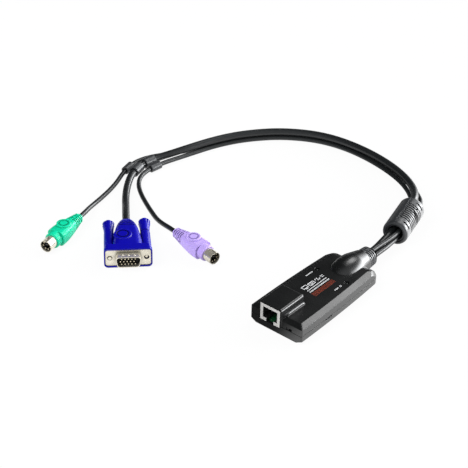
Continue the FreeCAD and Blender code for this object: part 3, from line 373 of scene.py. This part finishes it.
def board_finish():
    """Green solder mask over rows of wandering copper tracks, with silver pads between them."""
    finish = Finish("board")
    tone = finish.group(TONE_DRIFT, color=(0.004, 0.045, 0.014), amount=0.08, scale=120.0)["Color"]
    parts = finish.add("ShaderNodeSeparateXYZ", {0: finish.place})
    wave = finish.noise(finish.place, 160.0, 0.0)
    bent = finish.math("ADD", parts.outputs["X"], finish.math("MULTIPLY", wave, 0.004))
    tracks = finish.math("PINGPONG", bent, 0.0006)
    copper = finish.remap(tracks, 0.00022, 0.00026)
    pads = finish.add("ShaderNodeTexVoronoi", {"Vector": finish.place, "Scale": 420.0})
    pad = finish.remap(pads.outputs["Distance"], 0.14, 0.12)
    traced = finish.blend(finish.math("MULTIPLY", copper, 0.6), tone, (0.010, 0.08, 0.028))
    finish.set(base_color=finish.blend(pad, traced, (0.62, 0.62, 0.58)),
               metallic=finish.math("MULTIPLY", pad, 0.9), roughness=finish.remap(pad, 0.0, 1.0, 0.3, 0.38),
               normal=finish.bump(finish.math("ADD", copper, pad), 0.00003))
    return finish.material


def lens_finish():
    """Smoked lens of an unlit lamp, with its pale die deep inside."""
    finish = Finish("lens")
    parts = finish.add("ShaderNodeSeparateXYZ", {0: finish.add("ShaderNodeTexCoord").outputs["Normal"]})
    crown = finish.remap(parts.outputs["Z"], 0.93, 1.0, smooth=True)
    haze = finish.noise(finish.place, 900.0, 3.0)
    tone = finish.blend(crown, (0.012, 0.014, 0.014), (0.05, 0.055, 0.05))
    finish.set(base_color=tone, roughness=finish.remap(haze, 0.3, 0.7, 0.05, 0.14), specular_ior_level=0.6,
               normal=finish.bump(haze, 0.000008))
    return finish.material


def ink_finish(name, color):
    """Pad-printed ink: a thin, slightly broken film."""
    finish = Finish(name)
    pin_holes = finish.remap(finish.noise(finish.place, 9000.0, 2.0), 0.62, 0.72, 0.0, 0.35)
    tone = finish.group(TONE_DRIFT, color=color, amount=0.05, scale=400.0)["Color"]
    finish.set(base_color=finish.blend(pin_holes, tone, tuple(0.4 * c for c in color)),
               roughness=finish.remap(finish.noise(finish.place, 2500.0), 0.3, 0.7, 0.42, 0.55),
               normal=finish.bump(pin_holes, 0.000006), specular_ior_level=0.3)
    return finish.material


# In each finish, recess is the share of painted shade that darkens its grooves and recesses.
FINISHES = {
    "case": moulded("case", (0.0060, 0.0064, 0.0066), 0.25, depth=0.000005, drift=0.05, specular=0.80,
                    worn=(0.035, 0.036, 0.037), gloss_scale=60.0, spread=0.03, dust=0.25, wear=0.12,
                    recess=0.95, reach=0.0007),
    "relief": moulded("relief", (0.085, 0.088, 0.092), 0.38, grain=2600.0, depth=0.000005, round_edge=0.00012,
                      specular=1.0, recess=0.98, reach=0.0014, wear=0.1, dust=0.1),
    "nickel": plated("nickel", (0.95, 0.94, 0.91), 0.34, metallic=0.4, recess=0.9, reach=0.005),
    "insert_black": moulded("insert_black", (0.012, 0.012, 0.012), 0.38, dust=0.1),
    "gold": plated("gold", (0.88, 0.78, 0.55), 0.28, lines=900.0, recess=0.95, reach=0.004),
    "board": board_finish(),
    "chip": moulded("chip", (0.018, 0.018, 0.020), 0.5, grain=7000.0, depth=0.00002, drift=0.1),
    "can": plated("can", (0.74, 0.74, 0.76), 0.3, stretch=(1.0, 1.0, 20.0)),
    "header": moulded("header", (0.72, 0.69, 0.60), 0.42, subsurface=0.2),
    "screw": plated("screw", (0.56, 0.57, 0.60), 0.32, stretch=(1.0, 1.0, 1.0), lines=1500.0),
    "lens": lens_finish(),
    "knob_black": moulded("knob_black", (0.010, 0.010, 0.011), 0.28, round_edge=0.0002),
    "ferrite_case": moulded("ferrite_case", (0.026, 0.028, 0.031), 0.34, grain=3800.0, depth=0.000008,
                            specular=0.9, worn=(0.09, 0.09, 0.095), dust=0.1, wear=0.1, recess=0.95,
                            reach=0.0015),
    "ferrite": moulded("ferrite", (0.035, 0.035, 0.038), 0.62, grain=2500.0, depth=0.00005, drift=0.2),
    "clip": moulded("clip", (0.032, 0.034, 0.037), 0.38, grain=3800.0, depth=0.000016, specular=0.7,
                    worn=(0.09, 0.09, 0.095)),
    "jacket": jacket_finish(),
    "blue": moulded("blue", (0.003, 0.002, 0.33), 0.34, grain=3000.0, depth=0.000010, drift=0.04,
                    specular=0.28, worn=(0.01, 0.01, 0.45), dust=0.05, recess=0.85, reach=0.0025),
    "flange": plated("flange", (0.90, 0.85, 0.72), 0.26, metallic=0.75, tarnish=(0.80, 0.72, 0.56),
                     recess=0.96, reach=0.005),
    "turquoise": moulded("turquoise", (0.004, 0.62, 0.34), 0.36, grain=3000.0, depth=0.000010,
                         drift=0.02, specular=0.28, worn=(0.03, 0.75, 0.45), dust=0.0, wear=0.15,
                         recess=0.7, reach=0.0016),
    "lavender": moulded("lavender", (0.52, 0.39, 0.88), 0.36, grain=3000.0, depth=0.000010, drift=0.02,
                        specular=0.4, worn=(0.66, 0.54, 0.93), dust=0.0, wear=0.15, recess=0.6, reach=0.0016),
}
WHITE_INK = ink_finish("white_ink", (0.82, 0.83, 0.84))
ORANGE_INK = ink_finish("orange_ink", (0.36, 0.055, 0.022))


# ---- Lights and stage -----------------------------------------------------------
MIDDLE = Vector((-0.07, 0.02, 0.0))
LAMP_DISTANCE = 1.1


def softbox(name, toward, width, height, power, reflected=True):
    """Area light that looks back at the middle of the object from a direction."""
    data = bpy.data.lights.new(name, "AREA")
    data.shape = "RECTANGLE"
    data.size = width
    data.size_y = height
    data.energy = power
    light = add_object(name, data)
    direction = Vector(toward).normalized()
    light.location = MIDDLE + direction * LAMP_DISTANCE
    light.rotation_mode = "QUATERNION"
    light.rotation_quaternion = direction.to_track_quat("Z", "Y")
    light.visible_glossy = reflected
    return light


def seen_directly(graph):
    """One where a ray comes straight from the camera, nought elsewhere."""
    return graph.add("ShaderNodeLightPath").outputs["Is Camera Ray"]


def towards(graph, way, heading):
    """How nearly a direction points along a level heading, from -1 to 1."""
    both = graph.add("ShaderNodeVectorMath", {0: way, 1: heading}, operation="DOT_PRODUCT")
    return both.outputs["Value"]


def make_world():
    """White backdrop; to all but the camera a dim room with a bright wall at the back right."""
    back_right = (0.5, 0.866, 0.0)
    front_right = (0.93, -0.37, 0.0)
    wall_strength = 14.0
    dim_side, pale_side = 0.03, 0.6
    world = bpy.data.worlds.new("studio")
    bpy.context.scene.world = world
    world.use_nodes = True
    world.node_tree.nodes.clear()
    graph = Graph(world.node_tree)
    way = graph.add("ShaderNodeTexCoord").outputs["Generated"]
    height = graph.add("ShaderNodeSeparateXYZ", {0: way}).outputs["Z"]
    across = graph.remap(towards(graph, way, back_right), 0.62, 0.97, 0.0, wall_strength, smooth=True)
    wall = graph.math("MULTIPLY", across, graph.remap(height, 0.52, 0.16, smooth=True))
    side = graph.remap(towards(graph, way, front_right), -0.3, 0.8, dim_side, pale_side, smooth=True)
    level = graph.math("ADD", wall, side)
    room = graph.add("ShaderNodeBackground", {"Color": (0.97, 0.985, 1.0), "Strength": level})
    backdrop = graph.add("ShaderNodeBackground", {"Color": (1, 1, 1), "Strength": 1.0})
    both = graph.add("ShaderNodeMixShader",
                     {0: seen_directly(graph), 1: room.outputs[0], 2: backdrop.outputs[0]})
    graph.add("ShaderNodeOutputWorld", {"Surface": both.outputs[0]})


def make_floor():
    """White table with a faint shadow; to all but the camera it is dim in a band left of the module."""
    half = 4.0
    clearance = 0.0004
    shadow_share = 0.06
    beside_level, behind_level = 1.2, 2.4
    dim_left, pale_left = 0.10, 0.95
    mesh = bpy.data.meshes.new("floor")
    corners = [(-half, -half, 0), (half, -half, 0), (half, half, 0), (-half, half, 0)]
    mesh.from_pydata(corners, [], [(0, 1, 2, 3)])
    floor = add_object("floor", mesh)
    floor.location.z = -clearance
    material = bpy.data.materials.new("floor_white")
    material.use_nodes = True
    material.node_tree.nodes.clear()
    graph = Graph(material.node_tree)
    place = graph.add("ShaderNodeNewGeometry").outputs["Position"]
    parts = graph.add("ShaderNodeSeparateXYZ", {0: place})
    x, y = parts.outputs["X"], parts.outputs["Y"]
    beside = graph.remap(x, -0.005, 0.02, 0.0, beside_level, smooth=True)
    behind = graph.math("MULTIPLY", graph.remap(y, 0.08, 0.11, 0.0, behind_level, smooth=True),
                        graph.remap(x, -0.04, -0.01, smooth=True))
    far_left = graph.remap(x, -0.05, -0.11, dim_left, pale_left, smooth=True)
    level = graph.math("ADD", graph.math("ADD", beside, behind), far_left)
    lit = graph.add("ShaderNodeEmission", {"Color": (1, 1, 1), "Strength": level})
    paper = graph.add("ShaderNodeEmission", {"Color": (1, 1, 1), "Strength": 1.0})
    matt = graph.add("ShaderNodeBsdfDiffuse", {"Color": (0.95, 0.95, 0.95)})
    shown = graph.add("ShaderNodeMixShader", {0: shadow_share, 1: paper.outputs[0], 2: matt.outputs[0]})
    both = graph.add("ShaderNodeMixShader", {0: seen_directly(graph), 1: lit.outputs[0], 2: shown.outputs[0]})
    graph.add("ShaderNodeOutputMaterial", {"Surface": both.outputs[0]})
    mesh.materials.append(material)


# ---- Leads ----------------------------------------------------------------------
VIDEO_ROUTE = [(-1.0, BOOT_END, 7.2), (-1.0, 58.6, 7.2), (-1.7, 68.0, 8.1), (-3.0, 80.8, 9.45),
               (-6.9, 98.4, 10.8), (-10.6, 116.0, 11.4), (-16.8, 130.4, 9.4), (-26.3, 141.7, 7.5),
               (-40.2, 151.3, 6.4), (-57.6, 158.1, 6.1), (-77.8, 162.0, 6.15), (-97.5, 162.7, 6.1),
               (-115.2, 160.5, 6.15), (-132.2, 154.3, 6.1), (-149.7, 142.4, 6.15), (-162.2, 129.0, 6.1),
               (-172.6, 113.7, 6.15), (-180.5, 96.2, 6.1), (-186.4, 77.5, 6.0), (-191.2, 64.4, 5.2),
               (-196.8, 52.6, 4.0), (-198.7, 37.2, 4.0), (-195.3, 23.0, 4.0), (-188.4, 11.2, 3.0),
               (-179.3, -0.4, 2.8), (-169.4, -10.8, 3.8), (-162.6, -17.8, 6.0), (-154.81, -25.91, 7.7),
               (-149.50, -31.21, 7.7)]
KEYBOARD_ROUTE = [(4.1, BOOT_END, 8.5), (4.1, 58.6, 8.4), (3.2, 69.2, 7.4), (1.5, 82.1, 6.95),
                  (-4.6, 99.2, 5.96), (-11.1, 116.3, 6.0), (-18.6, 129.2, 3.9), (-27.9, 140.1, 2.3),
                  (-41.1, 149.4, 1.75), (-58.2, 155.7, 1.72), (-78.0, 159.6, 1.75), (-97.4, 160.8, 1.72),
                  (-114.7, 158.6, 1.75), (-131.3, 152.6, 1.72), (-148.5, 140.9, 1.75), (-160.7, 127.8, 1.72),
                  (-170.9, 112.8, 1.75), (-178.7, 95.5, 1.72), (-184.0, 76.6, 1.8), (-187.4, 62.4, 2.3),
                  (-189.6, 51.2, 3.0), (-191.45, 36.2, 3.0), (-189.9, 26.6, 2.4), (-184.4, 18.4, 1.8),
                  (-175.0, 10.8, 1.72), (-163.4, 3.8, 1.75), (-152.2, -2.2, 1.8), (-143.2, -7.0, 2.4),
                  (-134.8, -10.6, 4.1), (-125.61, -13.02, 5.7), (-118.2, -14.15, 5.7)]
MOUSE_ROUTE = [(1.5, BOOT_END, 11.3), (1.5, 58.6, 11.3), (2.0, 69.2, 11.2), (1.9, 81.9, 11.2),
               (-2.2, 99.6, 9.5), (-7.1, 117.3, 7.6), (-12.4, 133.0, 4.2), (-24.2, 144.3, 2.3),
               (-39.2, 153.1, 1.75), (-57.0, 160.0, 1.72), (-77.6, 163.9, 1.75), (-97.6, 164.6, 1.72),
               (-115.7, 162.4, 1.75), (-133.1, 156.1, 1.72), (-150.9, 143.9, 1.75), (-163.7, 130.2, 1.72),
               (-174.3, 114.6, 1.75), (-182.3, 96.9, 1.72), (-188.5, 79.4, 1.75), (-196.1, 65.8, 1.8),
               (-203.0, 54.0, 1.9), (-205.6, 45.2, 2.4), (-205.9, 35.6, 3.0), (-202.45, 21.5, 3.0),
               (-197.9, 10.2, 2.0), (-194.6, -0.6, 1.75), (-192.0, -11.6, 1.75), (-189.8, -21.8, 2.1),
               (-186.6, -30.6, 3.9), (-182.86, -38.55, 5.7), (-181.35, -45.9, 5.7)]


def make_lead(node, route, diameter):
    """Smooth cord along its route, in place of the tube of that name."""
    data = bpy.data.curves.new(node + "_cord", "CURVE")
    data.dimensions = "3D"
    data.bevel_depth = diameter * MM / 2
    data.bevel_resolution = 6
    data.resolution_u = 8
    spline = data.splines.new("NURBS")
    spline.points.add(len(route) - 1)
    for point, place in zip(spline.points, route):
        point.co = (*(Vector(place) * MM), 1)
    spline.order_u = 3
    spline.use_endpoint_u = True
    data.materials.append(FINISHES["jacket"])
    cord = add_object(node + "_cord", data)
    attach(cord, "module")
    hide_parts(node)
    return cord


# ---- Print on the top face ------------------------------------------------------
def strip(x0, y0, x1, y1, width):
    """Outline of a straight bar between two points."""
    along = Vector((x1 - x0, y1 - y0)).normalized() * (width / 2)
    across = Vector((-along.y, along.x))
    start, stop = Vector((x0, y0)), Vector((x1, y1))
    return [start - across, stop - across, stop + across, start + across]


def frame_bars(x0, y0, x1, y1, width):
    """Four bars round a rectangle, meeting at its corners without lying on each other."""
    h = width / 2
    return [strip(x0, y0 + h, x0, y1 - h, width), strip(x1, y0 + h, x1, y1 - h, width),
            strip(x0 - h, y0, x1 + h, y0, width), strip(x0 - h, y1, x1 + h, y1, width)]


def arc_bars(x, y, radius, start, stop, width, count):
    """Short wedges along an arc, side by side."""
    inner, outer = radius - width / 2, radius + width / 2
    bars = []
    for i in range(count):
        a = math.radians(start + (stop - start) * i / count)
        b = math.radians(start + (stop - start) * (i + 1) / count)
        corners = [(inner, a), (outer, a), (outer, b), (inner, b)]
        bars.append([Vector((x + r * math.cos(turn), y + r * math.sin(turn))) for r, turn in corners])
    return bars


def dashes(x, start, pitch, dash, width, count):
    """Row of dashes that runs along the housing, at one place across it."""
    places = [start + i * pitch for i in range(count)]
    return [strip(x, y, x, y + dash, width) for y in places]


def printed(name, outlines, ink, thickness=0.03):
    """Film of ink over closed outlines on the top face."""
    build = bmesh.new()
    for outline in outlines:
        low = [build.verts.new((p.x * MM, p.y * MM, CASE_TOP * MM)) for p in outline]
        high = [build.verts.new((p.x * MM, p.y * MM, (CASE_TOP + thickness) * MM)) for p in outline]
        join_rings(build, [low, high])
    piece = add_object(name, finished_mesh(name, build, ink))
    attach(piece, "module")
    return piece


def sheared(outlines, slope):
    """Outlines leaned along the housing, by the slope for each millimetre across it."""
    return [[Vector((p.x, p.y + slope * p.x)) for p in outline] for outline in outlines]


def make_stripes():
    """Five dotted orange stripes to the right of the symbols."""
    stripes, first, apart = 5, 2.45, 0.78
    bars = []
    for i in range(stripes):
        bars += dashes(first + i * apart, start=-17.0, pitch=0.92, dash=0.58, width=0.32, count=24)
    return printed("stripes", bars, ORANGE_INK)


def monitor_symbol(x, y):
    """Monitor on its foot, reading along the housing; x is the line it stands on."""
    bars = frame_bars(x - 3.4, y, x - 0.9, y + 4.4, 0.5)
    bars.append(strip(x - 0.65, y + 2.2, x - 0.25, y + 2.2, 0.7))
    bars.append(strip(x, y + 1.0, x, y + 3.4, 0.45))
    return bars


def keyboard_symbol(x, y):
    """Keyboard: a frame with two rows of keys and the space bar."""
    bars = frame_bars(x - 2.9, y, x - 0.2, y + 5.4, 0.42)
    for row, shift in ((2.25, 0.75), (1.6, 0.95)):
        bars += dashes(x - row, y + shift, pitch=0.88, dash=0.45, width=0.36, count=5)
    bars.append(strip(x - 0.88, y + 1.4, x - 0.88, y + 4.0, 0.36))
    return bars


def mouse_symbol(x, y):
    """Mouse seen from above, with its wheel and the start of its lead."""
    middle, radius, line, fine = x - 1.6, 1.1, 0.42, 0.36
    near, far = y + 1.3, y + 3.0
    bars = arc_bars(middle, near, radius, 90, 270, line, 12)
    bars += arc_bars(middle, far, radius, -90, 90, line, 12)
    bars.append(strip(middle - radius, near, middle - radius, far, line))
    bars.append(strip(middle + radius, near, middle + radius, far, line))
    bars.append(strip(middle, y + 2.7, middle, y + 3.5, fine))
    bars.append(strip(middle, y + 4.35, middle, y + 5.1, fine))
    return bars


def make_symbols():
    """White symbols of what plugs in, two short bars after them, and two rows of dashes beside them."""
    edge, lean = -3.4, 0.02
    start, length = -16.2, 21.4
    bars = monitor_symbol(edge, -16.0) + keyboard_symbol(edge, -10.2) + mouse_symbol(edge, -3.2)
    for x in (-5.6, -4.2):
        bars.append(strip(x, 2.7, x, 5.2, 0.5))
    for x, pitch, dash, width in ((-1.6, 1.15, 0.78, 0.75), (0.5, 0.95, 0.62, 1.0)):
        bars += dashes(x, start, pitch, dash, width, int(length / pitch))
    return printed("port_symbols", sheared(bars, lean), WHITE_INK)


def make_lamp_marks():
    """Link mark by the left lamp and power mark by the right one, each with a row of dashes."""
    line = 0.3
    x, y = -12.8, 2.9
    bars = arc_bars(x, y, 0.55, 20, 340, line, 18) + arc_bars(x, y - 1.7, 0.55, -160, 160, line, 18)
    bars += dashes(x, start=-3.4, pitch=1.05, dash=0.65, width=0.85, count=4)
    x, y = 11.2, 2.6
    bars += arc_bars(x, y, 0.75, 215, 505, line, 24)
    bars.append(strip(x - 0.95, y, x - 0.1, y, line))
    bars += dashes(x, start=-3.5, pitch=1.05, dash=0.65, width=0.85, count=4)
    return printed("lamp_marks", bars, WHITE_INK)


# ---- Threads of the thumbscrews -------------------------------------------------
def make_thread(side, across):
    """Steel screw with its rolled thread at the tip, in place of the plain rod."""
    name = "jackscrew_thread_" + side
    pitch, depth, threaded = 0.635, 0.3, 6.0
    steepness, root_flat = 2.4, 0.1
    chamfer = 0.3
    around, rings_a_turn = 28, 8
    tip, root = SCREW_TIPS[side], SCREW_ROOTS[side]
    start = tip - threaded
    steps = int(threaded / pitch * rings_a_turn)
    stations = [root, root + 0.01, start - 0.4]
    stations += [start + threaded * i / steps for i in range(steps + 1)]
    heading = math.radians(VIDEO_HEADING)
    out = Vector((math.cos(heading), math.sin(heading), 0))
    lateral = Vector((-out.y, out.x, 0))
    centre = Vector(VIDEO_PLUG) + lateral * (across * SCREW_SPACING / 2)
    build = bmesh.new()
    rings = []
    for y in stations:
        ring = []
        for k in range(around):
            turn = k / around
            radius = SCREW_RADIUS
            if y >= start:
                phase = ((y - start) / pitch - turn) % 1.0
                ridge = min(1.0, max(0.0, steepness * abs(phase - 0.5) - root_flat))
                radius -= depth * (1 - ridge) * min(1.0, (y - start) / pitch)
            radius -= max(0.0, chamfer - (tip - y))
            a = 2 * math.pi * turn
            ring.append(build.verts.new((centre + out * y + lateral * (radius * math.cos(a))
                                         + Vector((0, 0, radius * math.sin(a)))) * MM))
        rings.append(ring)
    join_rings(build, rings)
    screw = add_object(name, finished_mesh(name, build, FINISHES["flange"]))
    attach(screw, "thumbscrew_" + side)
    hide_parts("jackscrew_" + side)
    return screw


# ---- Ribbed boot ----------------------------------------------------------------
def rounded_section(half_width, half_height, corner, count):
    """Points round a rounded rectangle, evenly spaced, as (across, up)."""
    flat_x, flat_z = half_width - corner, half_height - corner
    sides = [(2 * flat_z, (half_width, -flat_z), (0, 1)), (2 * flat_x, (flat_x, half_height), (-1, 0)),
             (2 * flat_z, (-half_width, flat_z), (0, -1)), (2 * flat_x, (-flat_x, -half_height), (1, 0))]
    turns = [((flat_x, flat_z), 0), ((-flat_x, flat_z), 90),
             ((-flat_x, -flat_z), 180), ((flat_x, -flat_z), 270)]
    bend = corner * math.pi / 2
    total = sum(side[0] for side in sides) + 4 * bend
    points = []
    for i in range(count):
        at = total * i / count
        for (length, start, step), (middle, angle) in zip(sides, turns):
            if at < length:
                points.append((start[0] + step[0] * at, start[1] + step[1] * at))
                break
            at -= length
            if at < bend:
                a = math.radians(angle) + at / corner
                points.append((middle[0] + corner * math.cos(a), middle[1] + corner * math.sin(a)))
                break
            at -= bend
    return points


def make_boot():
    """Strain relief with its staggered ribs, flat on four sides, where the leads come out."""
    middle = 6.9
    start, stop = 42.25, BOOT_END
    wide, narrow = (6.95, 6.5), (6.3, 6.35)
    corner, end_round = 4.8, 0.6
    grooves, first, pitch, width, depth = 5, 42.75, 1.9, 0.92, 1.7
    top_bridge, floor_bridge = 1.0, -3.2
    flank = 0.07
    around = 132
    stations = []
    for i in range(grooves):
        low = first + i * pitch - width / 2
        stations += [low - flank, low + flank, low + width - flank, low + width + flank]
    stations += [stop - end_round + end_round * math.sin(math.radians(a)) for a in (0, 30, 60, 90)]
    build = bmesh.new()
    rings = []
    for y in stations:
        share = (y - start) / (stop - start)
        half_width = wide[0] + (narrow[0] - wide[0]) * share
        half_height = wide[1] + (narrow[1] - wide[1]) * share
        beyond = max(0.0, y - (stop - end_round)) / end_round
        inset = end_round * (1 - math.sqrt(max(0.0, 1 - beyond * beyond)))
        row = round((y - first) / pitch)
        in_groove = 0 <= row < grooves and abs(y - first - row * pitch) < width / 2
        outer = rounded_section(half_width - inset, half_height - inset, corner - inset, around)
        inner = rounded_section(half_width - depth, half_height - depth, corner - depth, around)
        ring = []
        for (x0, z0), (x1, z1) in zip(outer, inner):
            bridged = z0 < floor_bridge or (row % 2 == 1 and abs(x0) < top_bridge)
            x, z = (x1, z1) if in_groove and not bridged else (x0, z0)
            ring.append(build.verts.new((x * MM, y * MM, (z + middle) * MM)))
        rings.append(ring)
    join_rings(build, rings)
    mesh = finished_mesh("boot_ribs", build, FINISHES["relief"])
    mesh.shade_smooth()
    mesh.set_sharp_from_angle(angle=math.radians(35))
    boot = add_object("boot_ribs", mesh)
    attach(boot, "module")
    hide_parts("strain_relief")
    return boot


# ---- Assembly -------------------------------------------------------------------
make_camera()
make_world()
make_floor()
softbox("back_light", (0.02, 0.66, 0.75), width=0.46, height=0.40, power=2.8)
softbox("front_fill", (-0.1, -0.9, 0.55), width=0.7, height=0.5, power=4.5, reflected=False)
softbox("key", (-0.35, -0.55, 1.0), width=0.6, height=0.6, power=5.0, reflected=False)

slots = {entry["node"]: entry["material_slot"] for entry in frame["record"]["subparts"]}
for name, node in frame["nodes"].items():
    node.data.materials.clear()
    node.data.materials.append(FINISHES[slots[name]])
make_boot()
screws = [make_thread("left", 1), make_thread("right", -1)]
make_lead("video_lead", VIDEO_ROUTE, VIDEO_LEAD)
make_lead("mouse_lead", MOUSE_ROUTE, THIN_LEAD)
make_lead("keyboard_lead", KEYBOARD_ROUTE, THIN_LEAD)
make_stripes()
make_symbols()
make_lamp_marks()

bpy.context.scene.view_settings.view_transform = "Standard"
